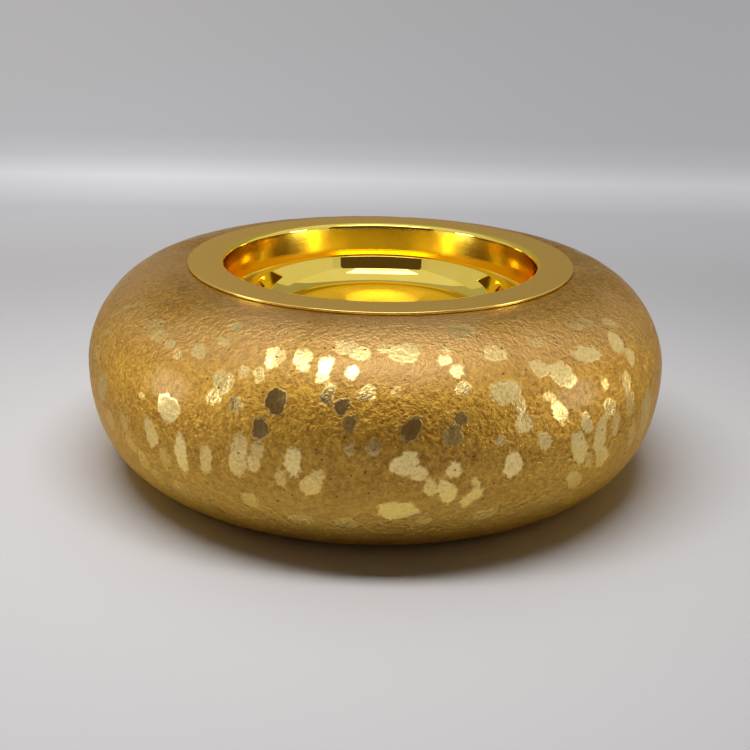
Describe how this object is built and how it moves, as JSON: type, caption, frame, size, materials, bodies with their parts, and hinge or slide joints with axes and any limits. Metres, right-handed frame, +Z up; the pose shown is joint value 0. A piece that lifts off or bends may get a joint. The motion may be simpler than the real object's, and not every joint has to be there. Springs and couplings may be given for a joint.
{
  "type": "urli bowl",
  "caption": "Squat, hollow, ring-shaped hammered brass bowl body with a bright spun liner whose flat rim rests on its top and lifts out.",
  "frame": {"origin": "On the table under the middle of the bowl, at the foot of its pads.", "axes": "+Z is up, along the body's axis of revolution. The bowl has no front: -Y faces the camera of the picture."},
  "size_m": [0.23, 0.23, 0.0804],
  "materials": {
    "hammered_brass": "Hammered and antiqued under clear lacquer: a fine-grained brown-gold ground with scattered polished hammer marks.",
    "bright_brass": "Mirror-polished inside, satin on the flat rim.",
    "black_rubber": "Matt black."
  },
  "bodies": {
    "body": {"upper_shell": "hammered_brass", "lower_shell": "hammered_brass", "rubber_pad_1": "black_rubber", "rubber_pad_2": "black_rubber", "rubber_pad_3": "black_rubber", "rubber_pad_4": "black_rubber"},
    "liner": {"liner_bowl": "bright_brass"}
  },
  "joints": [
    {"name": "liner_lift", "type": "slide", "parent": "body", "child": "liner", "axis": [0, 0, 1], "range_m": [0, 0.05]}
  ]
}
